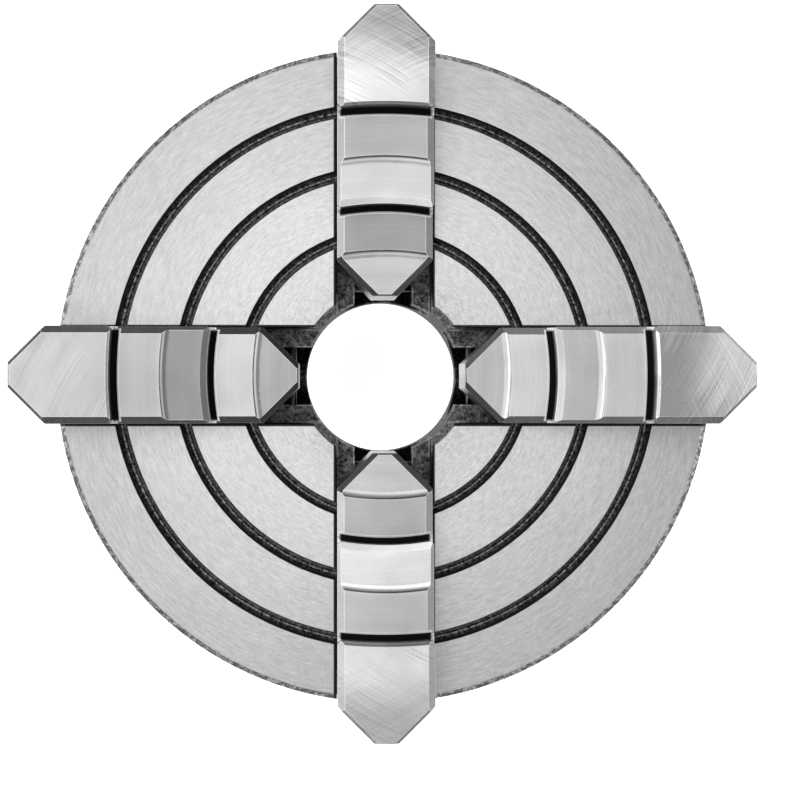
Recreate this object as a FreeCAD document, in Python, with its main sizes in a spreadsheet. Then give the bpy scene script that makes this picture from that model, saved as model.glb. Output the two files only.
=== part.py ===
"""Four-jaw independent lathe chuck, 125 mm class, modelled at its real size.

Frame: +Z is the chuck's axis, pointing out of the face that grips the work.
The origin is the centre of the back face, so the body stands on z = 0.
Jaw 1 is on +X, jaw 2 on +Y, jaw 3 on -X and jaw 4 on -Y.

Each jaw has its own screw.  The screw lies along its slot, a fork pressed in
from the back holds it by the neck, and a half nut cut in the underside of the
jaw runs on its left-hand thread.  So the key turned clockwise closes the jaw.
"""
import FreeCAD, Part
import math
import os
import Sketcher

SIZES = {
    # chuck body
    "body_radius": 62.5,
    "body_height": 42.0,
    "rim_chamfer": 1.0,
    "bore_radius": 15.0,
    "bore_chamfer": 1.5,
    "register_radius": 47.5,
    "register_depth": 4.0,
    "bore_back_chamfer": 0.5,
    "ring_first": 27.0,
    "ring_step": 12.0,
    "ring_half_width": 1.15,
    "ring_depth": 1.6,
    "mount_circle_radius": 54.0,
    "mount_hole_radius": 3.4,
    "mount_hole_depth": 16.0,
    "mount_hole_chamfer": 0.7,
    # slots and the ribs that guide the jaws
    "slot_edge_break": 0.3,
    "rib_top": 32.0,
    "rib_bottom": 26.0,
    "rib_gap_half": 5.6,
    "guide_gap": 0.1,
    # jaws
    "jaw_half_width": 9.0,
    "jaw_length": 53.0,
    "jaw_top": 62.5,
    "step_height": 7.0,
    "outer_wall": 34.7,
    "outer_wall_radius": 85.0,
    "inner_wall": 17.0,
    "inner_wall_radius": 50.0,
    "undercut_width": 1.4,
    "undercut_depth": 0.9,
    "outer_edge_width": 0.5,
    "outer_edge_drop": 0.4,
    "inner_edge_width": 1.3,
    "inner_edge_drop": 0.45,
    "wall_corner": 0.7,
    "middle_relief": 25.9,
    "inner_relief": 8.7,
    "relief_drop": 0.65,
    "relief_ramp": 1.4,
    "side_chamfer": 1.3,
    "corner_leg": 6.7,
    "outer_corner_chamfer": 0.6,
    "inner_corner_chamfer": 0.95,
    "tip_chamfer": 0.3,
    "foot_lift": 1.5,
    # screws
    "screw_axis_height": 17.5,
    "screw_radius": 7.5,
    "thread_pitch": 3.0,
    "thread_depth": 1.3,
    "thread_gap_width": 2.0,
    "thread_flank_angle": 15.0,
    "thread_radial_gap": 0.2,
    "thread_axial_gap": 0.15,
    "screw_inner_end": 17.0,
    "screw_outer_end": 61.0,
    "screw_end_chamfer": 1.0,
    "channel_gap": 0.25,
    "neck_radius": 4.5,
    "neck_place": 39.0,
    "neck_length": 6.0,
    "key_half": 4.0,
    "key_corner_radius": 5.3,
    "key_depth": 10.0,
    # forks and the small screws that lock them
    "fork_radius": 8.0,
    "fork_shoulder": 9.6,
    "fork_end_gap": 0.15,
    "neck_side_gap": 0.05,
    "lock_radius": 2.0,
    "lock_length": 6.0,
    "lock_sink": 0.3,
    "lock_chamfer": 0.4,
    "lock_hex": 1.0,
    "lock_hex_depth": 2.5,
    # where each jaw stands: the radius of its inner tip
    "tip_1": 15.2,
    "tip_2": 15.0,
    "tip_3": 16.3,
    "tip_4": 14.7,
}

doc = FreeCAD.newDocument("lathe_chuck")
sheet = doc.addObject("Spreadsheet::Sheet", "Sizes")


class Size:
    """A length that knows its value and the sheet formula that gives it."""

    def __init__(self, value, formula):
        self.value = value
        self.formula = formula

    def __add__(self, other):
        other = as_size(other)
        return Size(self.value + other.value, f"({self.formula} + {other.formula})")

    def __sub__(self, other):
        other = as_size(other)
        return Size(self.value - other.value, f"({self.formula} - {other.formula})")

    def __mul__(self, other):
        other = as_size(other)
        return Size(self.value * other.value, f"({self.formula} * {other.formula})")

    def __truediv__(self, other):
        other = as_size(other)
        return Size(self.value / other.value, f"({self.formula} / {other.formula})")

    def __neg__(self):
        return Size(-self.value, f"(-1 * {self.formula})")


def as_size(thing):
    """Take a Size as it is, and a plain number as a Size of that value."""
    return thing if isinstance(thing, Size) else Size(float(thing), repr(float(thing)))


def square_root(size):
    return Size(math.sqrt(size.value), f"sqrt({size.formula})")


def fill_sheet():
    """Write every driving dimension in the sheet, and return them as Sizes."""
    named = {}
    for row, (alias, number) in enumerate(SIZES.items(), start=1):
        sheet.set(f"A{row}", alias)
        sheet.set(f"B{row}", str(number))
        sheet.setAlias(f"B{row}", alias)
        named[alias] = Size(number, f"Sizes.{alias}")
    doc.recompute()
    return named


S = fill_sheet()

# Heights and widths that several pieces share.
face = S["body_height"]
rib_top = S["rib_top"]
rib_bottom = S["rib_bottom"]
axis_height = S["screw_axis_height"]
foot_bottom = axis_height + S["foot_lift"]
slot_half = S["jaw_half_width"] + S["guide_gap"] / 2
channel_radius = S["screw_radius"] + S["channel_gap"]
middle_level = S["jaw_top"] - S["step_height"]
inner_level = middle_level - S["step_height"]
thread_root = S["screw_radius"] - S["thread_depth"]
beyond = S["body_radius"] + 1


# ---------------------------------------------------------------- sketch tools

def origin_plane(body, role):
    return next(item for item in body.Origin.OriginFeatures if item.Role == role)


def new_sketch(body, name, role, lift=None):
    """A sketch on one of the body's own origin planes, lifted along its normal."""
    sketch = body.newObject("Sketcher::SketchObject", name)
    sketch.AttachmentSupport = (origin_plane(body, role), [""])
    sketch.MapMode = "FlatFace"
    if lift is not None:
        sketch.setExpression(".AttachmentOffset.Base.z", lift.formula)
    return sketch


def bind(sketch, kind, *where, size):
    """Add one dimension to a sketch and tie it to the sheet."""
    index = sketch.addConstraint(Sketcher.Constraint(kind, *where, size.value))
    sketch.setExpression(f"Constraints[{index}]", size.formula)


def pin_point(sketch, geometry, end, across, up):
    """Hold one end of a line or arc at a place measured from the origin."""
    for kind, size in (("DistanceX", across), ("DistanceY", up)):
        if size is None:
            continue
        size = as_size(size)
        if size.value == 0:
            axis = -2 if kind == "DistanceX" else -1
            sketch.addConstraint(Sketcher.Constraint("PointOnObject", geometry, end, axis))
        else:
            bind(sketch, kind, -1, 1, geometry, end, size=size)


def outline(sketch, *corners):
    """Draw a closed outline through corners, each (across, up).

    A corner (across, up, centre_across, centre_up) is reached from the one
    before it by an arc about that centre, anticlockwise.
    """
    first = sketch.GeometryCount
    count = len(corners)
    spots = [FreeCAD.Vector(as_size(c[0]).value, as_size(c[1]).value, 0) for c in corners]
    arcs = {}
    for index in range(count):
        start = spots[index]
        following = (index + 1) % count
        end = spots[following]
        corner = corners[following]
        if len(corner) == 2:
            sketch.addGeometry(Part.LineSegment(start, end), False)
            continue
        centre = FreeCAD.Vector(as_size(corner[2]).value, as_size(corner[3]).value, 0)
        turn_on = math.atan2(start.y - centre.y, start.x - centre.x)
        turn_off = math.atan2(end.y - centre.y, end.x - centre.x)
        circle = Part.Circle(centre, FreeCAD.Vector(0, 0, 1), (start - centre).Length)
        sketch.addGeometry(Part.ArcOfCircle(circle, turn_on, turn_off), False)
        arcs[first + index] = corner[3]
    for index in range(count):
        this_line = first + index
        next_line = first + (index + 1) % count
        sketch.addConstraint(Sketcher.Constraint("Coincident", this_line, 2, next_line, 1))
    for index, corner in enumerate(corners):
        pin_point(sketch, first + index, 1, corner[0], corner[1])
    for arc, centre_up in arcs.items():
        pin_point(sketch, arc, 3, None, centre_up)


def circle(sketch, across, up, radius):
    """Draw one dimensioned circle."""
    across, up = as_size(across), as_size(up)
    centre = FreeCAD.Vector(across.value, up.value, 0)
    ring = sketch.addGeometry(Part.Circle(centre, FreeCAD.Vector(0, 0, 1), radius.value), False)
    bind(sketch, "Radius", ring, size=radius)
    pin_point(sketch, ring, 3, across, up)


def rectangle(sketch, left, right, low, high):
    outline(sketch, (left, low), (right, low), (right, high), (left, high))


# --------------------------------------------------------------- feature tools

def extrude(body, kind, name, sketch, length, reverse=False):
    """Pad or pocket a sketch, and check that material really came or went."""
    before = body.Shape.Volume if body.Tip else 0.0
    feature = body.newObject(f"PartDesign::{kind}", name)
    feature.Profile = (sketch, [""])
    feature.setExpression("Length", length.formula)
    feature.Reversed = reverse
    doc.recompute()
    report_change(name, kind == "Pad", before, feature.Shape.Volume)
    return feature


def turn(body, kind, name, sketch, axis):
    """Revolve a sketch a full turn, to add a solid or to cut a groove."""
    before = body.Shape.Volume if body.Tip else 0.0
    feature = body.newObject(f"PartDesign::{kind}", name)
    feature.Profile = (sketch, [""])
    feature.ReferenceAxis = (sketch, [axis])
    feature.Angle = 360
    doc.recompute()
    report_change(name, kind == "Revolution", before, feature.Shape.Volume)
    return feature


def report_change(name, adds, before, after):
    if adds and after <= before + 1e-6:
        raise RuntimeError(f"{name} adds no material")
    if not adds and after >= before - 1e-6:
        raise RuntimeError(f"{name} cuts nothing")


def around_the_axis(body, name, features):
    """Repeat features at each of the four jaws."""
    pattern = body.newObject("PartDesign::PolarPattern", name)
    pattern.Originals = features
    pattern.Axis = (origin_plane(body, "Z_Axis"), [""])
    pattern.Angle = 360
    pattern.Occurrences = 4
    body.Tip = pattern
    doc.recompute()
    return pattern


def edges_where(shape, test):
    """Name the edges of a shape whose middle point passes a test."""
    names = []
    for index, edge in enumerate(shape.Edges, start=1):
        middle = edge.valueAt((edge.FirstParameter + edge.LastParameter) / 2)
        if test(edge, middle):
            names.append(f"Edge{index}")
    return names


def chamfer(body, name, size, test):
    """Chamfer the edges of the body's tip that pass a test."""
    base = body.Tip
    before = base.Shape.Volume
    feature = body.newObject("PartDesign::Chamfer", name)
    feature.Base = (base, edges_where(base.Shape, test))
    feature.setExpression("Size", size.formula)
    doc.recompute()
    report_change(name, False, before, feature.Shape.Volume)
    return feature


def near(first, second):
    return abs(first - second) < 0.01


# ------------------------------------------------------------------ chuck body

def body_profile(body):
    """The turned blank: bore, face, rim, back face and register recess."""
    sketch = new_sketch(body, "blank_profile", "XZ_Plane")
    bore, rim = S["bore_radius"], S["body_radius"]
    mouth, edge = S["bore_chamfer"], S["rim_chamfer"]
    register, recess, lead = S["register_radius"], S["register_depth"], S["bore_back_chamfer"]
    outline(
        sketch,
        (bore, recess + lead), (bore + lead, recess), (register, recess),
        (register, 0), (rim - edge, 0), (rim, edge),
        (rim, face - edge), (rim - edge, face), (bore + mouth, face), (bore, face - mouth),
    )
    turn(body, "Revolution", "turned_blank", sketch, "V_Axis")


def cut_face_rings(body):
    """Three round-bottomed rings, for setting the jaws concentric by eye."""
    sketch = new_sketch(body, "ring_profile", "XZ_Plane")
    half = S["ring_half_width"]
    floor = face - S["ring_depth"] + half
    for number in range(3):
        middle = S["ring_first"] + S["ring_step"] * number
        outline(
            sketch,
            (middle - half, face + 1), (middle - half, floor),
            (middle + half, floor, middle, floor), (middle + half, face + 1),
        )
    turn(body, "Groove", "face_rings", sketch, "V_Axis")


def cut_slot(body):
    """One jaw slot: wide mouth, two guide ribs, and a wide pocket for the foot."""
    sketch = new_sketch(body, "slot_section", "YZ_Plane")
    wide, narrow, break_size = slot_half, S["rib_gap_half"], S["slot_edge_break"]
    floor = foot_bottom - S["guide_gap"] * 2
    right = [
        (narrow, rib_bottom), (wide, rib_bottom), (wide, floor),
    ]
    left = [(-wide, floor), (-wide, rib_bottom), (-narrow, rib_bottom)]
    mouth_left = [
        (-narrow, rib_top), (-wide, rib_top), (-wide, face - break_size),
        (-wide - break_size, face), (-wide - break_size, face + 1),
    ]
    mouth_right = [
        (wide + break_size, face + 1), (wide + break_size, face),
        (wide, face - break_size), (wide, rib_top), (narrow, rib_top),
    ]
    outline(sketch, *right, *left, *mouth_left, *mouth_right)
    return extrude(body, "Pocket", "jaw_slot", sketch, beyond, reverse=True)


def cut_screw_channel(body):
    """The round channel that the lower half of the jaw screw lies in."""
    sketch = new_sketch(body, "channel_section", "YZ_Plane")
    circle(sketch, 0, axis_height, channel_radius)
    return extrude(body, "Pocket", "screw_channel", sketch, beyond, reverse=True)


def cut_fork_hole(body):
    """The hole from the back, up to the screw's axis, that takes the fork."""
    sketch = new_sketch(body, "fork_hole_circle", "XY_Plane")
    circle(sketch, S["neck_place"], 0, S["fork_radius"])
    return extrude(body, "Pocket", "fork_hole", sketch, axis_height, reverse=True)


def cut_lock_hole(body):
    """The tapped hole for the lock screw, half in the body and half in the fork."""
    sketch = new_sketch(body, "lock_hole_circle", "XY_Plane")
    circle(sketch, S["neck_place"], S["fork_radius"], S["lock_radius"])
    depth = S["register_depth"] + S["lock_sink"] + S["lock_length"]
    return extrude(body, "Pocket", "lock_hole", sketch, depth, reverse=True)


def cut_mount_holes(body):
    """Four tapped holes in the back, between the jaws."""
    sketch = new_sketch(body, "mount_hole_circles", "XY_Plane")
    reach = S["mount_circle_radius"] * math.cos(math.radians(45))
    for across, up in ((reach, reach), (-reach, reach), (-reach, -reach), (reach, -reach)):
        circle(sketch, across, up, S["mount_hole_radius"])
    extrude(body, "Pocket", "mount_holes", sketch, S["mount_hole_depth"], reverse=True)
    radius = SIZES["mount_hole_radius"]

    def mouth(edge, middle):
        return near(middle.z, 0) and near(getattr(edge.Curve, "Radius", 0), radius)

    chamfer(body, "mount_hole_mouths", S["mount_hole_chamfer"], mouth)


def make_chuck_body():
    body = doc.addObject("PartDesign::Body", "chuck_body")
    body_profile(body)
    cut_face_rings(body)
    slot_features = [
        cut_slot(body), cut_screw_channel(body), cut_fork_hole(body), cut_lock_hole(body),
    ]
    around_the_axis(body, "four_slots", slot_features)
    cut_mount_holes(body)
    return body


# ------------------------------------------------------------ screws and forks

def round_bar(name, start, stop, radius):
    """A plain round bar along X with chamfered ends."""
    body = doc.addObject("PartDesign::Body", name)
    sketch = new_sketch(body, f"{name}_profile", "XZ_Plane")
    slant = S["screw_end_chamfer"]
    outline(
        sketch, (start, 0), (stop, 0), (stop, radius - slant),
        (stop - slant, radius), (start + slant, radius), (start, radius - slant),
    )
    turn(body, "Revolution", f"{name}_blank", sketch, "H_Axis")
    return body


def cut_thread(body, name, start, stop, outside, root, side_gap):
    """Cut a left-hand trapezoidal thread in a bar along X.

    The middle of the thread's gap crosses the XZ plane at whole pitches from
    x = 0, so two threads made here are always in step.  The gap between teeth
    is thread_gap_width at the screw's own radius, less side_gap on each side.
    """
    pitch = S["thread_pitch"]
    whole_pitches = math.floor(start.value / pitch.value) - 1
    first_gap = pitch * whole_pitches
    slope = math.tan(math.radians(SIZES["thread_flank_angle"]))
    tooth = new_sketch(body, f"{name}_gap", "XZ_Plane")
    low_half = S["thread_gap_width"] / 2 - side_gap - (S["screw_radius"] - root) * slope
    high_half = S["thread_gap_width"] / 2 - side_gap - (S["screw_radius"] - outside) * slope
    outline(
        tooth, (first_gap - low_half, root), (first_gap + low_half, root),
        (first_gap + high_half, outside), (first_gap - high_half, outside),
    )
    before = body.Shape.Volume
    helix = body.newObject("PartDesign::SubtractiveHelix", name)
    helix.Profile = (tooth, [""])
    helix.ReferenceAxis = (tooth, ["H_Axis"])
    helix.Mode = "pitch-height-angle"
    helix.setExpression("Pitch", pitch.formula)
    helix.setExpression("Height", (stop - first_gap + pitch).formula)
    helix.LeftHanded = True
    doc.recompute()
    report_change(name, False, before, helix.Shape.Volume)


def key_outline(sketch):
    """A square with its corners cut to the radius of the pilot hole."""
    half, corner = S["key_half"], S["key_corner_radius"]
    short = corner * math.sqrt(2) - half
    outline(
        sketch, (half, short), (short, half), (-short, half), (-half, short),
        (-half, -short), (-short, -half), (short, -half), (half, -short),
    )


def make_screw():
    """A jaw screw along X, its distances measured from the chuck's axis."""
    start, stop, radius = S["screw_inner_end"], S["screw_outer_end"], S["screw_radius"]
    body = round_bar("screw_pattern", start, stop, radius)
    neck = new_sketch(body, "neck_profile", "XZ_Plane")
    half = S["neck_length"] / 2
    place = S["neck_place"]
    rectangle(neck, place - half, place + half, S["neck_radius"], radius + 1)
    turn(body, "Groove", "neck", neck, "H_Axis")
    key = new_sketch(body, "key_outline", "YZ_Plane", stop)
    key_outline(key)
    extrude(body, "Pocket", "key_socket", key, S["key_depth"])
    outside = radius + S["thread_depth"] / 2
    cut_thread(body, "screw_thread", start, stop, outside, thread_root, as_size(0))
    return body


def make_fork(name):
    """The fork: a round plug whose slim tongue fits in the neck of the screw."""
    body = doc.addObject("PartDesign::Body", name)
    bottom = S["register_depth"]
    top = axis_height - S["fork_end_gap"]
    plug = new_sketch(body, f"{name}_plug", "XY_Plane", bottom)
    circle(plug, 0, 0, S["fork_radius"])
    extrude(body, "Pad", f"{name}_blank", plug, top - bottom)

    tongue = S["neck_length"] / 2 - S["neck_side_gap"]
    wide = S["fork_radius"] + 1
    flats = new_sketch(body, f"{name}_flats", "XY_Plane", S["fork_shoulder"])
    rectangle(flats, tongue, wide, -wide, wide)
    rectangle(flats, -wide, -tongue, -wide, wide)
    extrude(body, "Pocket", f"{name}_tongue", flats, top, reverse=True)

    seat = new_sketch(body, f"{name}_seat_circle", "YZ_Plane", -wide)
    circle(seat, 0, axis_height, S["neck_radius"] + S["neck_side_gap"])
    extrude(body, "Pocket", f"{name}_seat", seat, wide * 2, reverse=True)

    lock = new_sketch(body, f"{name}_lock_circle", "XY_Plane", bottom)
    circle(lock, 0, S["fork_radius"], S["lock_radius"])
    extrude(body, "Pocket", f"{name}_lock", lock, S["lock_sink"] + S["lock_length"], reverse=True)
    return body


def make_lock_screw(name):
    """A short socket set screw that keeps a fork from backing out."""
    body = doc.addObject("PartDesign::Body", name)
    low = S["register_depth"] + S["lock_sink"]
    high = low + S["lock_length"]
    radius, slant = S["lock_radius"], S["lock_chamfer"]
    sketch = new_sketch(body, f"{name}_profile", "XZ_Plane")
    outline(
        sketch, (0, low), (radius - slant, low), (radius, low + slant),
        (radius, high - slant), (radius - slant, high), (0, high),
    )
    turn(body, "Revolution", f"{name}_blank", sketch, "V_Axis")
    flat = S["lock_hex"]
    point = flat * (2 / math.sqrt(3))
    hexagon = new_sketch(body, f"{name}_hexagon", "XY_Plane", low)
    outline(
        hexagon, (point, 0), (point / 2, flat), (-point / 2, flat),
        (-point, 0), (-point / 2, -flat), (point / 2, -flat),
    )
    extrude(body, "Pocket", f"{name}_socket", hexagon, S["lock_hex_depth"], reverse=True)
    return body


# ------------------------------------------------------------------------ jaws

def jaw_blank(body):
    """The jaw's plan, with its corners cut at 45 degrees, at full height."""
    plan = new_sketch(body, "jaw_plan", "XY_Plane", foot_bottom)
    long, wide, leg = S["jaw_length"], S["jaw_half_width"], S["corner_leg"]
    outline(
        plan, (0, -wide + leg), (leg, -wide), (long - leg, -wide), (long, -wide + leg),
        (long, wide - leg), (long - leg, wide), (leg, wide), (0, wide - leg),
    )
    extrude(body, "Pad", "jaw_block", plan, S["jaw_top"] - foot_bottom)


def cut_guide_grooves(body):
    """The two side grooves that run on the ribs of the body."""
    section = new_sketch(body, "guide_groove_section", "YZ_Plane")
    low = rib_bottom - S["guide_gap"]
    high = rib_top + S["guide_gap"]
    inside = S["rib_gap_half"] - S["guide_gap"]
    outside = S["jaw_half_width"] + 1
    rectangle(section, inside, outside, low, high)
    rectangle(section, -outside, -inside, low, high)
    extrude(body, "Pocket", "guide_grooves", section, S["jaw_length"] + 1, reverse=True)


def turn_step(body, name, wall, radius, level, top):
    """Turn one gripping step: its wall, the undercut at its foot, its sloping edge."""
    sketch = new_sketch(body, f"{name}_profile", "XZ_Plane")
    centre = wall - radius
    groove_side = wall - S["undercut_width"]
    groove_floor = level - S["undercut_depth"]
    edge_width, edge_drop = S[f"{name}_edge_width"], S[f"{name}_edge_drop"]
    outline(
        sketch, (centre, level), (groove_side, level), (groove_side, groove_floor),
        (wall, groove_floor), (wall, top - edge_drop), (wall + edge_width, top),
        (wall + edge_width, S["jaw_top"] + 1), (centre, S["jaw_top"] + 1),
    )
    spin_about(body, name, sketch, centre)


def break_wall_corners(body, name, wall, radius, level):
    """Cut both upright corners of a wall, where it meets the sides of the jaw."""
    sketch = new_sketch(body, f"{name}_corner_plan", "XY_Plane", level)
    start, wide = wall_side(wall, radius), S["jaw_half_width"]
    leg = S["wall_corner"]
    outline(sketch, (start - 1, wide - leg - 1), (start + leg + 1, wide + 1), (start - 1, wide + 1))
    outline(sketch, (start - 1, -wide - 1), (start + leg + 1, -wide - 1),
            (start - 1, -wide + leg + 1))
    extrude(body, "Pocket", f"{name}_corners_cut", sketch, S["jaw_top"] - level + 1, reverse=True)


def turn_relief(body, name, edge, radius, level):
    """Lower the inner part of a step a little, with a rounded run-out."""
    sketch = new_sketch(body, f"{name}_profile", "XZ_Plane")
    centre = edge - radius
    drop, ramp = S["relief_drop"], S["relief_ramp"]
    run_out = (ramp * ramp + drop * drop) / (drop * 2)
    floor = level - drop
    flat_end = edge - ramp
    outline(
        sketch, (centre, floor), (flat_end, floor),
        (edge, level, flat_end, floor + run_out), (edge, level + 1), (centre, level + 1),
    )
    spin_about(body, name, sketch, centre)


def spin_about(body, name, sketch, centre):
    """Cut a full turn of a sketch about the upright line through its centre."""
    line = sketch.addGeometry(
        Part.LineSegment(
            FreeCAD.Vector(centre.value, 0, 0), FreeCAD.Vector(centre.value, 10, 0),
        ), True,
    )
    pin_point(sketch, line, 1, centre, 0)
    sketch.addConstraint(Sketcher.Constraint("Vertical", line))
    bind(sketch, "DistanceY", line, 1, line, 2, size=as_size(10))
    turn(body, "Groove", name, sketch, "Axis0")


def cut_side_chamfers(body, name, level, stop):
    """Chamfer both long top edges of one step, from the tip out to stop."""
    section = new_sketch(body, f"{name}_section", "YZ_Plane")
    wide, slant = S["jaw_half_width"], S["side_chamfer"]
    outline(section, (wide - slant, level), (wide, level - slant), (wide + 1, level - slant),
            (wide + 1, level + 1), (wide - slant, level + 1))
    outline(section, (-wide, level - slant), (-wide + slant, level), (-wide + slant, level + 1),
            (-wide - 1, level + 1), (-wide - 1, level - slant))
    extrude(body, "Pocket", name, section, stop, reverse=True)


def wall_side(wall, radius):
    """How far out a curved wall meets the side of the jaw."""
    sag = radius - square_root(radius * radius - S["jaw_half_width"] * S["jaw_half_width"])
    return wall - sag


def chamfer_end(body, name, end, level, drop):
    """Chamfer the top edges of one end: its cut corners, then its narrow tip.

    drop is how far a relief lowers this top afterwards, so that the chamfers
    left standing have their own sizes.
    """
    top, reach = level.value, SIZES["corner_leg"] + 1

    def straight_on_top(edge, middle):
        first, last = edge.Vertexes[0].Point, edge.Vertexes[-1].Point
        flat = near(first.z, top) and near(last.z, top)
        return flat and edge.Curve.TypeId == "Part::GeomLine" and abs(middle.x - end) < reach

    def corner_edge(edge, middle):
        along = edge.Vertexes[-1].Point - edge.Vertexes[0].Point
        return straight_on_top(edge, middle) and near(abs(along.x), abs(along.y))

    def tip_edge(edge, middle):
        return straight_on_top(edge, middle) and near(middle.x, end)

    chamfer(body, f"{name}_corners", S[f"{name}_corner_chamfer"] + drop, corner_edge)
    chamfer(body, f"{name}_tip", S["tip_chamfer"] + drop, tip_edge)


def make_jaw():
    """A jaw with x = 0 at its inner tip, at its true height, and its half nut."""
    body = doc.addObject("PartDesign::Body", "jaw_block_body")
    jaw_blank(body)
    cut_guide_grooves(body)
    outer, outer_radius = S["outer_wall"], S["outer_wall_radius"]
    inner, inner_radius = S["inner_wall"], S["inner_wall_radius"]
    half_groove = S["undercut_width"] / 2
    turn_step(body, "outer", outer, outer_radius, middle_level, S["jaw_top"])
    turn_step(body, "inner", inner, inner_radius, inner_level, middle_level - S["relief_drop"])
    break_wall_corners(body, "outer", outer, outer_radius, middle_level)
    break_wall_corners(body, "inner", inner, inner_radius, inner_level)
    cut_side_chamfers(body, "outer_chamfers", S["jaw_top"], S["jaw_length"] + 1)
    cut_side_chamfers(body, "middle_chamfers", middle_level,
                      wall_side(outer, outer_radius) - half_groove)
    cut_side_chamfers(body, "inner_chamfers", inner_level,
                      wall_side(inner, inner_radius) - half_groove)
    chamfer_end(body, "outer", SIZES["jaw_length"], S["jaw_top"], as_size(0))
    chamfer_end(body, "inner", 0.0, inner_level, S["relief_drop"])
    turn_relief(body, "middle_relief", S["middle_relief"], inner_radius, middle_level)
    turn_relief(body, "inner_relief", S["inner_relief"], inner_radius, inner_level)

    radial_gap = S["thread_radial_gap"]
    start, stop = -S["thread_pitch"], S["jaw_length"] + S["thread_pitch"]
    radius = S["screw_radius"] + radial_gap
    tap = round_bar("half_nut_tap", start, stop, radius)
    cut_thread(tap, "tap_thread", start, stop, radius + S["thread_depth"] / 2,
               thread_root + radial_gap, S["thread_axial_gap"])
    tap.Placement = FreeCAD.Placement(
        FreeCAD.Vector(0, 0, SIZES["screw_axis_height"]), FreeCAD.Rotation(),
    )
    jaw = doc.addObject("Part::Cut", "jaw_pattern")
    jaw.Base = body
    jaw.Tool = tap
    doc.recompute()
    return jaw


# -------------------------------------------------------------------- assembly

def copy_of(pattern, name, placement):
    """One more piece of the same kind, in its own place."""
    copy = doc.addObject("Part::Compound", name)
    copy.Links = [pattern]
    copy.Placement = placement
    return copy


def about_axis(number):
    """The quarter turn that takes jaw 1's place to another jaw's."""
    return FreeCAD.Placement(
        FreeCAD.Vector(), FreeCAD.Rotation(FreeCAD.Vector(0, 0, 1), 90 * (number - 1)),
    )


def screw_placement(number):
    """Lay a screw on its axis, turned so that its thread meets the half nut."""
    turned = 360 * SIZES[f"tip_{number}"] / SIZES["thread_pitch"]
    return about_axis(number) * FreeCAD.Placement(
        FreeCAD.Vector(0, 0, SIZES["screw_axis_height"]),
        FreeCAD.Rotation(FreeCAD.Vector(1, 0, 0), turned),
    )


def shifted(across, up):
    return FreeCAD.Placement(FreeCAD.Vector(across, up, 0), FreeCAD.Rotation())


def build():
    chuck_body = make_chuck_body()
    pieces = [chuck_body]
    jaw, screw = make_jaw(), make_screw()
    fork, lock_screw = make_fork("fork_pattern"), make_lock_screw("lock_screw_pattern")
    for number in range(1, 5):
        side = about_axis(number)
        tip, neck = SIZES[f"tip_{number}"], SIZES["neck_place"]
        pieces.append(copy_of(jaw, f"jaw_{number}", side * shifted(tip, 0)))
        pieces.append(copy_of(screw, f"jaw_screw_{number}", screw_placement(number)))
        pieces.append(copy_of(fork, f"screw_fork_{number}", side * shifted(neck, 0)))
        lock_place = side * shifted(neck, SIZES["fork_radius"])
        pieces.append(copy_of(lock_screw, f"fork_lock_screw_{number}", lock_place))
    doc.recompute()
    return pieces


def check(pieces):
    """Stop before anything is written if any object or shape has failed."""
    for item in doc.Objects:
        if "Invalid" in item.State or "Error" in item.State:
            raise RuntimeError(f"{item.Label} failed: {item.State}")
    for piece in pieces:
        shape = piece.Shape
        if shape.isNull() or not shape.isValid() or len(shape.Solids) != 1:
            raise RuntimeError(f"{piece.Label} is not one valid solid")


def write(pieces):
    os.makedirs("parts", exist_ok=True)
    for piece in pieces:
        piece.Shape.exportStep(f"parts/{piece.Label}.step")
        print(f"{piece.Label:20s} {piece.Shape.Volume / 1000:9.2f} cm3")


all_pieces = build()
check(all_pieces)
write(all_pieces)
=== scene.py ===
# %% [markdown]
# A lathe chuck with four jaws, each on its own screw. The imported CAD model
# gives every piece its true shape and place, so the work left for Blender is
# the look of the metal: a ground face, turned steps, milled jaw ends, slots
# with painted shade and blackened screws. The first cell loads the frame.

# %% Load the frame
import math

import bpy
from mathutils import Matrix, Vector


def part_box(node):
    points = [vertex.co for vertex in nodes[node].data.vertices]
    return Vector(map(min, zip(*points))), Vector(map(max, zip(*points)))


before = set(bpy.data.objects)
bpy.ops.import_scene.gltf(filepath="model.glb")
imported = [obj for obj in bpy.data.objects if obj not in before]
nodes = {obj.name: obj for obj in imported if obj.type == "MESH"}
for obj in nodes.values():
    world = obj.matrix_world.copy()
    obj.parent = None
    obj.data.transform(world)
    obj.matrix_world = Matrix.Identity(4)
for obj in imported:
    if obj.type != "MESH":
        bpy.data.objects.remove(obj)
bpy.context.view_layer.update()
MM = 0.001

# %% [markdown]
# Some of the levels that the finishes change at are read from the CAD pieces,
# so a finish stays on its surface if a size changes. The body's box gives the
# face and the rim's radius, and a jaw's box gives its highest step.

# %% Measure the pieces
body_low, body_high = (Vector(corner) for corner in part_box("chuck_body"))
FACE = body_high.z
BODY_RADIUS = body_high.x
JAW_TOP = Vector(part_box("jaw_1")[1]).z
STEP = 7 * MM
print("face at", round(FACE, 4), "body radius", round(BODY_RADIUS, 4), "jaw top", round(JAW_TOP, 4))

# %% [markdown]
# Every finish here is a small graph of shader nodes. Written out by hand, a
# graph is mostly bookkeeping, so this helper adds a node and wires its inputs
# in one line. Numbers go straight on the node's own sockets.

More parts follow.
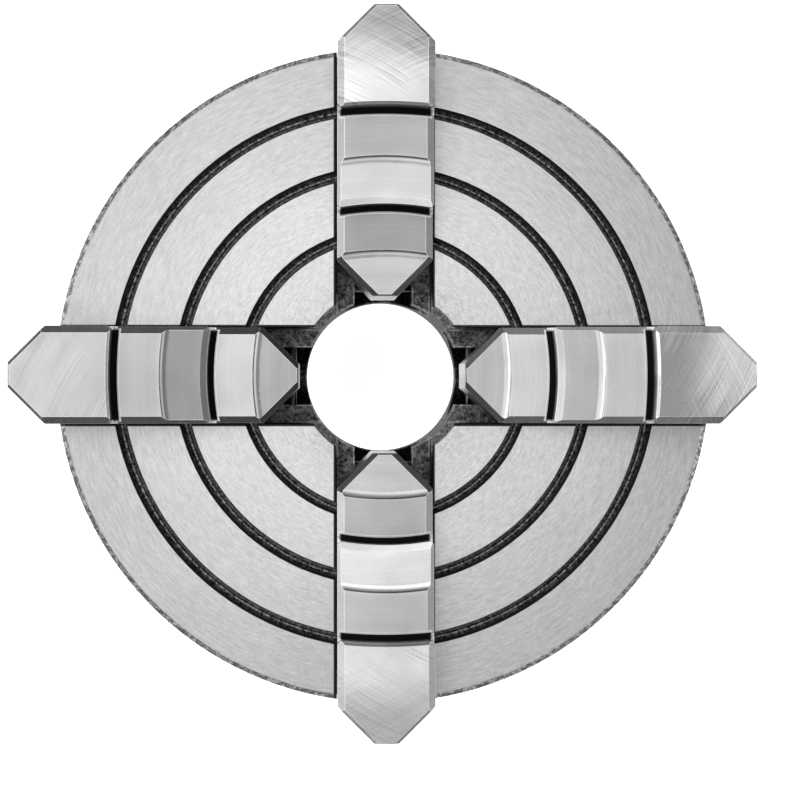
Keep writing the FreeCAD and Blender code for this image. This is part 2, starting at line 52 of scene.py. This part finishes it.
# %% A short way to write a shader graph
class Finish:
    """One material: its node tree, its surface shader and the object's own coordinates.

    A point p of the object is turned about Z and shifted along X, so that one
    recipe serves pieces that face different ways:
    p' = R(-turned) p - (shift, 0, 0).
    """

    def __init__(self, name, base, metallic, roughness, turned=0.0, shift=0.0):
        self.material = bpy.data.materials.new(name)
        self.material.use_nodes = True
        self.tree = self.material.node_tree
        self.shader = self.tree.nodes["Principled BSDF"]
        self.shader.inputs["Base Color"].default_value = (*base, 1)
        self.shader.inputs["Metallic"].default_value = metallic
        self.shader.inputs["Roughness"].default_value = roughness
        coordinates = self.add("ShaderNodeTexCoord").outputs["Object"]
        place = self.add("ShaderNodeMapping", Vector=coordinates)
        place.vector_type = "POINT"
        place.inputs["Rotation"].default_value = (0, 0, -turned)
        place.inputs["Location"].default_value = (-shift, 0, 0)
        self.point = place.outputs["Vector"]
        split = self.add("ShaderNodeSeparateXYZ", Vector=self.point)
        self.x, self.y, self.z = split.outputs

    def add(self, kind, **inputs):
        """Add a node and set or wire its inputs; an underscore stands for a space."""
        node = self.tree.nodes.new(kind)
        for name, value in inputs.items():
            self.wire(node.inputs[name.replace("_", " ")], value)
        return node

    def wire(self, socket, value):
        """Link the socket to another node's output, or write a constant on it."""
        if isinstance(value, bpy.types.NodeSocket):
            self.tree.links.new(value, socket)
        else:
            socket.default_value = value

    def math(self, operation, *values):
        """One operation on one to three numbers; MULTIPLY_ADD gives a b + c."""
        node = self.tree.nodes.new("ShaderNodeMath")
        node.operation = operation
        for socket, value in zip(node.inputs, values):
            self.wire(socket, value)
        return node.outputs[0]

    def step(self, value, low, high):
        """0 at low and 1 at high, with a smooth ramp between them.

        With t = (value - low) / (high - low) kept within 0 and 1, the result is
        t^2 (3 - 2 t). It falls instead of rising when low is the larger number.
        """
        node = self.add("ShaderNodeMapRange", Value=value)
        node.interpolation_type = "SMOOTHSTEP"
        node.inputs["From Min"].default_value = low
        node.inputs["From Max"].default_value = high
        return node.outputs["Result"]

    def band(self, value, low, high, edge):
        """1 between low and high, 0 outside: step(low) - step(high), softened by edge."""
        rise = self.step(value, low - edge, low + edge)
        fall = self.step(value, high - edge, high + edge)
        return self.math("SUBTRACT", rise, fall)

    def radius(self, across, along):
        """The distance from an axis: sqrt(across^2 + along^2)."""
        square = self.math("ADD", self.math("MULTIPLY", across, across),
                           self.math("MULTIPLY", along, along))
        return self.math("SQRT", square)

    def vector(self, x, y, z):
        """Three numbers as one vector, or as one colour."""
        return self.add("ShaderNodeCombineXYZ", X=x, Y=y, Z=z).outputs[0]

    def noise(self, vector, scale, detail=2.0, roughness=0.5):
        """Smooth noise near 0.5, scale lumps to a metre, with finer octaves added."""
        node = self.add("ShaderNodeTexNoise", Vector=vector, Scale=scale, Detail=detail,
                        Roughness=roughness)
        return node.outputs["Fac"]

    def mix(self, factor, first, second):
        """first (1 - factor) + second factor, for two colours or two numbers.

        The Mix node keeps its number sockets at 2 and 3 and its colour sockets
        at 6 and 7; its outputs are in the same order.
        """
        node = self.tree.nodes.new("ShaderNodeMix")
        wide = isinstance(first, tuple) or isinstance(second, tuple)
        colours = wide or "RGBA" in {getattr(first, "type", ""), getattr(second, "type", "")}
        node.data_type = "RGBA" if colours else "FLOAT"
        offset = 6 if colours else 2
        self.wire(node.inputs[0], factor)
        for index, value in ((offset, first), (offset + 1, second)):
            if colours and isinstance(value, tuple) and len(value) == 3:
                value = (*value, 1)
            self.wire(node.inputs[index], value)
        return node.outputs[2 if colours else 0]

    def total(self, start, *parts):
        """start + value_1 share_1 + value_2 share_2 + ..."""
        result = start
        for value, painted_light_share in parts:
            result = self.math("MULTIPLY_ADD", value, painted_light_share, result)
        return result

    def grey(self, tone):
        """A grey of this brightness, one hundredth weaker in blue."""
        return self.vector(tone, tone, self.math("MULTIPLY", tone, 0.99))

    def edge_wear_and_highlight(self, width, low, high):
        """1 on a sharp edge, 0 away from it.

        The Bevel node gives the normal n_b that an edge rounded to this width
        would have. With the true normal n, 1 - n_b . n grows towards the edge.
        """
        rounded = self.add("ShaderNodeBevel", Radius=width).outputs[0]
        flat = self.add("ShaderNodeNewGeometry").outputs["True Normal"]
        dot = self.tree.nodes.new("ShaderNodeVectorMath")
        dot.operation = "DOT_PRODUCT"
        self.wire(dot.inputs[0], rounded)
        self.wire(dot.inputs[1], flat)
        return self.step(self.math("SUBTRACT", 1.0, dot.outputs["Value"]), low, high)

    def facing_up(self, low, high):
        """1 where the surface faces up, 0 on walls and steep chamfers."""
        normal = self.add("ShaderNodeNewGeometry").outputs["True Normal"]
        return self.step(self.add("ShaderNodeSeparateXYZ", Vector=normal).outputs["Z"], low, high)

    def brushed_round_axis(self, amount):
        """Stretch the reflections outwards, as fine turned grooves round the axis do."""
        tangent = self.tree.nodes.new("ShaderNodeTangent")
        tangent.direction_type = "RADIAL"
        tangent.axis = "Z"
        self.wire(self.shader.inputs["Tangent"], tangent.outputs[0])
        self.shader.inputs["Anisotropic"].default_value = amount
        self.shader.inputs["Anisotropic Rotation"].default_value = 0.25

    def bump(self, height, distance, strength=1.0, under=None):
        """A normal tilted by the slope of the height, on top of the normal under it."""
        node = self.add("ShaderNodeBump", Height=height, Distance=distance, Strength=strength)
        if under is not None:
            self.wire(node.inputs["Normal"], under)
        return node.outputs[0]

    def finish(self, colour=None, roughness=None, normal=None):
        """Wire what was made into the surface shader and give back the material."""
        for name, value in (("Base Color", colour), ("Roughness", roughness), ("Normal", normal)):
            if value is not None:
                self.wire(self.shader.inputs[name], value)
        return self.material


def dress(name, material):
    """Give every slot of a CAD node the finish."""
    for slot in nodes[name].material_slots:
        slot.material = material
    print(name, "wears", material.name)


# %% [markdown]
# The body is cast iron, turned all over and then ground on its face. Grinding
# leaves short, fine, crossing scratches with a satin sheen. The rings, the
# slots and the bore were cut after that: shade is painted on their walls as
# near black, with painted light on the ribs and ring flanks, and a broken thin
# highlight is painted along the very bottom of each ring.

# %% The body's finish
RING_FIRST, RING_STEP, RING_DEPTH = 27 * MM, 12 * MM, 1.6 * MM
BORE_RADIUS = 15 * MM
MOUTH = 1.5 * MM
REGISTER_FLOOR = 4 * MM
RIB_TOP = 32 * MM
SLOT_EDGE = 9.75 * MM
# the satin scratches: how many to a metre outwards, and to a radian round the axis
SATIN_OUTWARDS, SATIN_ROUND = 2600.0, 20.0
# the near black of the shade painted in recesses
RECESS_SHADE_BLACK = (0.010, 0.010, 0.011)
# the colour of that line: dried oil and painted shade
DRIED_OIL_AND_SHADE = (0.03, 0.03, 0.03)


def body_finish():
    """Ground and turned cast iron with shade and highlights painted in its recesses; radius and
    turn are polar coordinates.
    """
    steel = Finish("ground_cast_iron", (0.65, 0.65, 0.645), 1.0, 0.38)
    steel.brushed_round_axis(0.35)
    radius = steel.radius(steel.x, steel.y)
    turn = steel.math("ARCTAN2", steel.y, steel.x)
    # satin speckle: short scratches drawn out along the turning direction
    polar = steel.vector(steel.math("MULTIPLY", radius, SATIN_OUTWARDS),
                         steel.math("MULTIPLY", turn, SATIN_ROUND),
                         steel.math("MULTIPLY", steel.z, SATIN_OUTWARDS))
    streaks = steel.noise(polar, 1.0, 3.0)
    speckle = steel.noise(steel.point, 2300.0, 3.0, 0.65)
    cloud = steel.noise(steel.point, 45.0, 3.0)
    tone = steel.total(0.27, (streaks, 0.40), (speckle, 0.32), (cloud, 0.10))
    # the face's colour grows a little darker towards the rim
    rim_darkening = steel.step(radius, 30 * MM, 62 * MM)
    tone = steel.math("MULTIPLY", tone, steel.math("MULTIPLY_ADD", rim_darkening, -0.20, 1.0))
    ground = steel.grey(tone)
    # near the bore the ground face is stained in fine dark specks
    stain = steel.math("MULTIPLY", steel.step(radius, 24 * MM, 17 * MM),
                       steel.step(steel.noise(steel.point, 900.0, 4.0, 0.7), 0.42, 0.62))
    ground = steel.mix(steel.math("MULTIPLY", stain, 0.26), ground, (0.25, 0.25, 0.25))
    # the rim's edge is nicked and holds dirt in specks
    nicks = steel.step(steel.noise(steel.point, 1100.0, 4.0, 0.75), 0.38, 0.56)
    edge = steel.step(radius, BODY_RADIUS - 1.25 * MM, BODY_RADIUS - 0.7 * MM)
    high = steel.step(steel.z, FACE - 1.6 * MM, FACE - 1.2 * MM)
    nicks = steel.math("MULTIPLY", steel.math("MULTIPLY", nicks, edge), high)
    ground = steel.mix(steel.math("MULTIPLY", nicks, 0.88), ground, (0.06, 0.06, 0.06))
    # a thin black line is painted along the slots' edges: partly the shade of their broken edges,
    # partly oil crept out of the slots
    from_slot = steel.math("MINIMUM", steel.math("ABSOLUTE", steel.x),
                           steel.math("ABSOLUTE", steel.y))
    slot_edge_oil_and_shade = steel.math("MULTIPLY", steel.step(from_slot, SLOT_EDGE, SLOT_EDGE - 0.15 * MM),
                       steel.step(steel.z, FACE - 1.0 * MM, FACE - 0.8 * MM))
    ground = steel.mix(slot_edge_oil_and_shade, ground, DRIED_OIL_AND_SHADE)
    # below the face, in the rings, slots and bore, shade is painted as a grainy near black
    below = steel.step(steel.z, FACE - 0.02 * MM, FACE - 0.35 * MM)
    inside = steel.step(radius, BODY_RADIUS - 1.2 * MM, BODY_RADIUS - 1.6 * MM)
    above_back = steel.step(steel.z, REGISTER_FLOOR + 0.6 * MM, REGISTER_FLOOR + 1.2 * MM)
    recess_shade = steel.math("MULTIPLY", steel.math("MULTIPLY", below, inside), above_back)
    grain = steel.noise(steel.point, 1500.0, 4.0, 0.75)
    rough_grain = steel.step(grain, 0.42, 0.68)
    recess_shade_and_light = steel.mix(rough_grain, RECESS_SHADE_BLACK, (0.11, 0.11, 0.11))
    # on the tops of the ribs, left rough by the slotting cutter, highlights are painted as grey
    # specks, stronger near the bore
    shelf = steel.band(steel.z, RIB_TOP - 0.3 * MM, RIB_TOP + 0.3 * MM, 0.05 * MM)
    near_bore = steel.step(radius, 34 * MM, 16 * MM)
    pits = steel.step(steel.noise(steel.point, 1300.0, 5.0, 0.8), 0.40, 0.66)
    painted_rib_glints = steel.math("MULTIPLY", steel.math("MULTIPLY", shelf, pits),
                       steel.math("MULTIPLY_ADD", near_bore, 0.55, 0.30))
    recess_shade_and_light = steel.mix(painted_rib_glints, recess_shade_and_light, (0.30, 0.30, 0.30))
    # in a ring, light is painted on the inner flank as grainy grey and shade on the outer flank as
    # near black
    from_ring = steel.math("SUBTRACT", steel.math("MODULO", steel.math(
        "SUBTRACT", radius, RING_FIRST - RING_STEP / 2), RING_STEP), RING_STEP / 2)
    in_rings = steel.math("MULTIPLY", steel.step(radius, RING_FIRST - 3 * MM, RING_FIRST - 2 * MM),
                          steel.step(steel.z, FACE - RING_DEPTH * 1.2, FACE - RING_DEPTH * 1.1))
    inner_flank_light = steel.math("MULTIPLY", steel.step(from_ring, -0.35 * MM, -0.85 * MM),
                             steel.math("MULTIPLY_ADD", rough_grain, 0.7, 0.3))
    outer_flank_shade = steel.step(from_ring, 0.45 * MM, 1.15 * MM)
    recess_shade_and_light = steel.mix(steel.math("MULTIPLY", inner_flank_light, in_rings), recess_shade_and_light, (0.50, 0.50, 0.50))
    recess_shade_and_light = steel.mix(steel.math("MULTIPLY", outer_flank_shade, in_rings), recess_shade_and_light, (0.06, 0.06, 0.06))
    # the bevel at the mouth of the bore is scuffed bare
    mouth = steel.math("MULTIPLY",
                       steel.step(radius, BORE_RADIUS + MOUTH * 1.4, BORE_RADIUS + MOUTH * 1.3),
                       steel.step(steel.z, FACE - MOUTH * 1.3, FACE - MOUTH * 1.1))
    scuffs = steel.math("MULTIPLY_ADD", pits, 0.80, 0.15)
    recess_shade_and_light = steel.mix(steel.math("MULTIPLY", mouth, scuffs), recess_shade_and_light, (0.70, 0.70, 0.70))
    # the corners at the bore are painted bright in places, partly as rubbed wear, partly as edge
    # highlights
    rubbed_and_lit_edges = steel.math("MULTIPLY", steel.edge_wear_and_highlight(0.45 * MM, 0.002, 0.02),
                        steel.step(radius, BORE_RADIUS + 3.5 * MM, BORE_RADIUS + 2.5 * MM))
    rubbed_and_lit_edges = steel.math("MULTIPLY", rubbed_and_lit_edges, steel.math("MULTIPLY_ADD", pits, 0.75, 0.25))
    recess_shade_and_light = steel.mix(rubbed_and_lit_edges, recess_shade_and_light, (0.85, 0.85, 0.85))
    # a broken thin highlight is painted along the bottom of each ring
    ring_bottom_highlight = steel.math("MULTIPLY", in_rings, steel.band(from_ring, -0.12 * MM, 0.10 * MM, 0.06 * MM))
    gaps = steel.noise(steel.vector(0.0, steel.math("MULTIPLY", turn, 55.0), radius), 1.0, 4.0, 0.8)
    breaks = steel.math("MULTIPLY", steel.step(gaps, 0.40, 0.60),
                        steel.math("MULTIPLY_ADD", rough_grain, 0.5, 0.5))
    recess_shade_and_light = steel.mix(steel.math("MULTIPLY", ring_bottom_highlight, breaks), recess_shade_and_light, (0.58, 0.58, 0.58))
    # below the face, the painted shade and light replace the ground colour
    colour = steel.mix(recess_shade, ground, recess_shade_and_light)
    rough = steel.mix(recess_shade, steel.total(0.28, (speckle, 0.20)), 0.5)
    fine = steel.bump(speckle, 0.03 * MM, 0.7)
    normal = steel.bump(streaks, 0.02 * MM, 0.4, fine)
    return steel.finish(colour, rough, normal)


dress("chuck_body", body_finish())

# %% [markdown]
# A jaw is hardened steel. Its highest end was milled by a face cutter, which
# leaves crossing arcs. The lower steps were turned in place on the chuck, so
# their fine lines bend round its axis. Shade is painted black in the undercuts
# at the foot of each wall. All four jaws share one recipe, turned to each jaw's
# direction, and each jaw has its own painted light and shade on its tops, flanks
# and cutter marks.

# %% The jaws' finish
OUTER_WALL, OUTER_WALL_RADIUS = 34.7 * MM, 85 * MM
INNER_WALL, INNER_WALL_RADIUS = 17.0 * MM, 50 * MM
MIDDLE_RELIEF, INNER_RELIEF = 25.2 * MM, 8.0 * MM
UNDERCUT = 1.4 * MM
# the painted shade of an undercut ends between these two distances from the jaw's middle line
UNDERCUT_NONE, UNDERCUT_FULL = 8.8 * MM, 8.2 * MM
CUTTER_OFFSET = 23.5 * MM
# how many cutter arcs and turned lines there are to a metre
FINE_ARCS, WIDE_ARCS, FINE_LINES, BROAD_LINES = 2200.0, 330.0, 3200.0, 420.0
# where along the jaw the painted light of its highest end starts and stops changing
END_INSIDE, END_TIP = 38 * MM, 50 * MM
# painted light and shade: how bright each jaw's left and right flanks are, looking outwards along
# the jaw
FLANK_LIGHT_TONES = {1: (1.06, 0.60), 2: (0.56, 0.46), 3: (0.30, 0.30), 4: (0.50, 0.74)}
# painted light: how much brighter each highest end gets over LEAN_SPAN towards its left side
END_LIGHT_LEANS = {1: 0.0, 2: 0.12, 3: 0.0, 4: 0.0}
LEAN_SPAN = 6 * MM
# how deep the two families of cutter marks are on each jaw's highest end, in bump and in colour;
# how their colour contrast differs between jaws is painted light
CUTTER_DEPTHS_AND_LIGHT = {1: (3.2, 2.2), 2: (3.6, 2.8), 3: (1.7, 0.8), 4: (2.2, 2.0)}
# painted light and shade: how bright each top is, from the tip out: relieved inner, inner, relieved
# middle, middle, and the highest end at its inside and at its tip
TOP_LIGHT_TONES = {
    1: (0.88, 1.18, 0.94, 1.22, 0.60, 1.34),
    2: (0.88, 0.56, 1.00, 0.74, 1.10, 0.58),
    3: (0.66, 0.98, 0.48, 0.81, 0.75, 0.80),
    4: (0.98, 0.84, 1.44, 1.08, 1.33, 0.85),
}


def jaw_finish(number):
    """Hardened steel in the jaw's own directions: x outwards from its tip, y across."""
    low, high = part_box(f"jaw_{number}")
    along = (number - 1) % 2
    tip = min(abs(low[along]), abs(high[along]))
    turned = math.radians(90 * (number - 1))
    steel = Finish(f"hardened_jaw_{number}", (0.7, 0.7, 0.695), 1.0, 0.3, turned, tip)
    # cutter arcs: two families of circles that cross on the highest end, each
    # fading in and out over the surface
    cutter = 0.5
    for side, depth in zip((1, -1), CUTTER_DEPTHS_AND_LIGHT[number]):
        away = steel.radius(steel.x, steel.math("SUBTRACT", steel.y, side * CUTTER_OFFSET))
        fine = steel.vector(steel.math("MULTIPLY", away, FINE_ARCS), 3.0 * side + number,
                            steel.math("MULTIPLY", steel.y, 34.0))
        wide = steel.vector(steel.math("MULTIPLY", away, WIDE_ARCS), 5.0 * side + number,
                            steel.math("MULTIPLY", steel.y, 34.0))
        arcs = steel.total(-0.5, (steel.noise(fine, 1.0, 3.0, 0.7), 0.72),
                           (steel.noise(wide, 1.0, 2.0), 0.28))
        seen = steel.step(steel.noise(steel.point, 90.0 + 40.0 * side, 1.0), 0.36, 0.60)
        cutter = steel.math("MULTIPLY_ADD", arcs, steel.math("MULTIPLY", seen, depth), cutter)
    # turned lines: circles about the middle of the wall's curve
    spin = steel.radius(steel.math("ADD", steel.x, INNER_WALL_RADIUS - INNER_WALL), steel.y)
    fine = steel.vector(steel.math("MULTIPLY", spin, FINE_LINES), 1.0, 0.0)
    broad = steel.vector(steel.math("MULTIPLY", spin, BROAD_LINES), 7.0, 0.0)
    fine_line = steel.noise(fine, 1.0, 3.0)
    broad_line = steel.noise(broad, 1.0, 2.0)
    lines = steel.total(0.0, (fine_line, 0.5), (broad_line, 0.5))
    top = steel.step(steel.z, JAW_TOP - 2 * MM, JAW_TOP - 1.5 * MM)
    marks = steel.mix(top, lines, cutter)
    # light and shade are painted: each top and each flank has its own brightness on each jaw
    *tones, end_inside, end_tip = TOP_LIGHT_TONES[number]
    painted_light_share = tones[0]
    for place, tone in zip((INNER_RELIEF, INNER_WALL, MIDDLE_RELIEF), tones[1:]):
        edge = place + INNER_WALL_RADIUS - INNER_WALL
        past = steel.step(spin, edge - 0.3 * MM, edge + 0.3 * MM)
        painted_light_share = steel.mix(past, painted_light_share, tone)
    end = steel.mix(steel.step(steel.x, END_INSIDE, END_TIP), end_inside, end_tip)
    light_lean = steel.math("MULTIPLY_ADD", steel.y, END_LIGHT_LEANS[number] / LEAN_SPAN, 1.0)
    end = steel.math("MULTIPLY", end, light_lean)
    flank_light = steel.mix(steel.step(steel.y, -1 * MM, 1 * MM), *reversed(FLANK_LIGHT_TONES[number]))
    painted_light_share = steel.mix(steel.facing_up(0.75, 0.85), flank_light, steel.mix(top, painted_light_share, end))
    grain = steel.noise(steel.point, 2000.0, 3.0, 0.6)
    cloud = steel.noise(steel.point, 62.0, 2.0)
    spread = steel.mix(top, 0.40, 0.46)
    tone = steel.total(0.10, (cloud, 0.44), (grain, 0.10))
    tone = steel.math("MULTIPLY_ADD", marks, spread, tone)
    tone = steel.math("MULTIPLY", tone, painted_light_share)
    # sharp edges are painted brighter, partly as wear, partly as edge highlights
    worn = steel.edge_wear_and_highlight(0.25 * MM, 0.004, 0.03)
    tone = steel.mix(steel.math("MULTIPLY", worn, 0.75), tone, 0.98)
    bright = steel.grey(tone)
    # shade painted black in the undercuts at the foot of both walls
    middle, inner = JAW_TOP - STEP, JAW_TOP - 2 * STEP
    undercut_shade = 0.0
    for wall, wall_radius, level in ((OUTER_WALL, OUTER_WALL_RADIUS, middle),
                                     (INNER_WALL, INNER_WALL_RADIUS, inner)):
        away = steel.radius(steel.math("ADD", steel.x, wall_radius - wall), steel.y)
        groove = steel.band(away, wall_radius - UNDERCUT + 0.35 * MM, wall_radius + 0.05 * MM,
                            0.06 * MM)
        depth = steel.band(steel.z, level - 1.2 * MM, level - 0.06 * MM, 0.03 * MM)
        undercut_shade = steel.math("ADD", undercut_shade, steel.math("MULTIPLY", groove, depth))
    within = steel.step(steel.math("ABSOLUTE", steel.y), UNDERCUT_NONE, UNDERCUT_FULL)
    undercut_shade = steel.math("MULTIPLY", undercut_shade, within)
    # the undercuts take the near black of painted shade
    colour = steel.mix(undercut_shade, bright, RECESS_SHADE_BLACK)
    rough = steel.mix(undercut_shade, steel.total(0.22, (grain, 0.16)), 0.6)
    normal = steel.bump(grain, 0.01 * MM, 0.4, steel.bump(marks, 0.03 * MM, 0.5))
    return steel.finish(colour, rough, normal)


for number in range(1, 5):
    dress(f"jaw_{number}", jaw_finish(number))

# %% [markdown]
# The screws, the forks behind them and their small lock screws are blackened
# and oiled: a dark grey metal with a soft sheen, a little lighter where it rubs.

# %% The dark steel finish
def dark_finish(name, deep, worn, roughness):
    """Dark steel whose grain goes from the deep colour to the worn one."""
    steel = Finish(name, deep, 0.9, roughness)
    grain = steel.noise(steel.point, 900.0, 4.0)
    colour = steel.mix(grain, deep, worn)
    rough = steel.math("ADD", steel.math("MULTIPLY", grain, 0.2), roughness - 0.1)
    return steel.finish(colour, rough, steel.bump(grain, 0.03 * MM, 0.4))


screw_steel = dark_finish("oiled_screw", (0.09, 0.09, 0.092), (0.22, 0.22, 0.22), 0.38)
fork_steel = dark_finish("fork_steel", (0.16, 0.16, 0.162), (0.34, 0.34, 0.335), 0.4)
black_screw = dark_finish("blackened_screw", (0.02, 0.02, 0.022), (0.06, 0.06, 0.063), 0.42)
for number in range(1, 5):
    dress(f"jaw_screw_{number}", screw_steel)
    dress(f"screw_fork_{number}", fork_steel)
    dress(f"fork_lock_screw_{number}", black_screw)

# %% [markdown]
# The chuck lies on a pale floor with a painted pool of light: it glows softly round
# the chuck. The floor is a hair lower than the back face, because two faces in one plane would
# flicker.

# %% The floor
FLOOR_HALF = 2.5
FLOOR_LEVEL = -0.2 * MM
GLOW_NEAR, GLOW_FAR, GLOW_STRENGTH = 0.08, 0.45, 0.80


def floor_plane():
    """A square sheet that glows GLOW_STRENGTH up to GLOW_NEAR, fading to none at GLOW_FAR."""
    mesh = bpy.data.meshes.new("floor")
    corners = [(x * FLOOR_HALF, y * FLOOR_HALF, FLOOR_LEVEL)
               for x, y in ((-1, -1), (1, -1), (1, 1), (-1, 1))]
    mesh.from_pydata(corners, [], [(0, 1, 2, 3)])
    floor = bpy.data.objects.new("floor", mesh)
    bpy.context.collection.objects.link(floor)
    paper = Finish("pale_paper", (0.9, 0.9, 0.9), 0.0, 0.9)
    fibre = paper.noise(paper.point, 60.0, 3.0)
    shade = paper.mix(fibre, (0.89, 0.89, 0.89), (0.91, 0.91, 0.91))
    # a pool of light is painted on the floor as glow, strongest near the chuck and fading outwards
    away = paper.radius(paper.x, paper.y)
    glow = paper.step(away, GLOW_FAR, GLOW_NEAR)
    paper.shader.inputs["Emission Color"].default_value = (1, 1, 1, 1)
    strength = paper.math("MULTIPLY", glow, GLOW_STRENGTH)
    paper.wire(paper.shader.inputs["Emission Strength"], strength)
    # seen from below the floor lets the view through to the back of the chuck
    clear = paper.add("ShaderNodeBsdfTransparent").outputs[0]
    below = paper.add("ShaderNodeNewGeometry").outputs["Backfacing"]
    either = paper.tree.nodes.new("ShaderNodeMixShader")
    paper.wire(either.inputs[0], below)
    paper.wire(either.inputs[1], paper.shader.outputs[0])
    paper.wire(either.inputs[2], clear)
    paper.wire(paper.tree.nodes["Material Output"].inputs["Surface"], either.outputs[0])
    mesh.materials.append(paper.finish(shade))
    return floor


print("floor", tuple(round(side, 2) for side in floor_plane().dimensions), "m")

# %% [markdown]
# Four soft boxes light the chuck. The ground face mirrors the wide one
# overhead. The one in front fills the sloping steps of the jaw behind the bore,
# and the two at the sides light the long chamfers of the jaws that lie along Y.

# %% The lights
# name: place, the point it faces, width and height in metres, power in watts
SOFT_BOXES = {
    "overhead_box": ((-0.40, 0.35, 1.3), (0, 0, 0), (1.3, 1.3), 5.5),
    "front_box": ((-0.2, -0.9, 1.0), (0, 0, 0.05), (0.9, 0.7), 2.6),
    "left_box": ((-1.0, 0.1, 0.25), (0, 0, 0.05), (0.6, 1.1), 4.2),
    "right_box": ((1.0, -0.1, 0.25), (0, 0, 0.05), (0.6, 1.1), 2.4),
}


def soft_box(name, place, aim, size, power):
    """A rectangular area light at a place, turned so that its -Z axis meets the aim."""
    light = bpy.data.lights.new(name, "AREA")
    light.shape = "RECTANGLE"
    light.size, light.size_y = size
    light.energy = power
    lamp = bpy.data.objects.new(name, light)
    bpy.context.collection.objects.link(lamp)
    lamp.visible_camera = False
    lamp.location = place
    lamp.rotation_euler = (Vector(aim) - Vector(place)).to_track_quat("-Z", "Y").to_euler()


for name, (place, aim, size, power) in SOFT_BOXES.items():
    soft_box(name, place, aim, size, power)
    print(name, size, "m,", power, "W")

# %% [markdown]
# The surroundings are dark near the horizon and bright overhead. Surfaces that
# face up reflect the bright part, and chamfers that face sideways reflect the
# dark part, so the chamfers outline the jaws.

# %% The surroundings
# brightness goes from DIM to BRIGHT as the upward part of a direction goes from LOW to HIGH
LOW, HIGH, DIM, BRIGHT = 0.12, 0.45, 0.03, 0.50

world = bpy.context.scene.world or bpy.data.worlds.new("studio")
bpy.context.scene.world = world
world.use_nodes = True
background = world.node_tree.nodes["Background"]
background.inputs["Color"].default_value = (1, 1, 1, 1)
sky = world.node_tree.nodes
direction = sky.new("ShaderNodeSeparateXYZ")
brightness = sky.new("ShaderNodeMapRange")
brightness.interpolation_type = "SMOOTHSTEP"
for name, value in (("From Min", LOW), ("From Max", HIGH), ("To Min", DIM), ("To Max", BRIGHT)):
    brightness.inputs[name].default_value = value
link = world.node_tree.links.new
link(sky.new("ShaderNodeTexCoord").outputs["Generated"], direction.inputs[0])
link(direction.outputs["Z"], brightness.inputs["Value"])
link(brightness.outputs["Result"], background.inputs["Strength"])
print("surroundings from", DIM, "at the horizon to", BRIGHT, "overhead")

# %% [markdown]
# The camera stands about 12 mm off the chuck's axis, half a metre above the
# face, and looks almost straight down. Its axes are set one by one: Z points
# back from the target, X lies to the right and Y completes the frame, so that
# +Y is up in the view.

# %% The camera
CAMERA_PLACE = Vector((-0.0113, -0.0040, 0.553))
# the middle of the view is a point of the face a little right of and below the axis
LOOK_AT = Vector((0.00300, -0.00466, 0.042))

camera_data = bpy.data.cameras.new("camera")
camera = bpy.data.objects.new("camera", camera_data)
bpy.context.collection.objects.link(camera)
camera.location = CAMERA_PLACE
camera_data.sensor_width = 36
camera_data.lens = 120.5
camera_data.clip_start = 0.01
back = -(LOOK_AT - CAMERA_PLACE).normalized()
right = Vector((0, 1, 0)).cross(back).normalized()
up = back.cross(right)
camera.rotation_euler = Matrix((right, up, back)).transposed().to_euler()
bpy.context.scene.camera = camera
bpy.context.scene.view_settings.view_transform = "Standard"
print("camera", round((LOOK_AT - CAMERA_PLACE).length, 3), "m from the face")
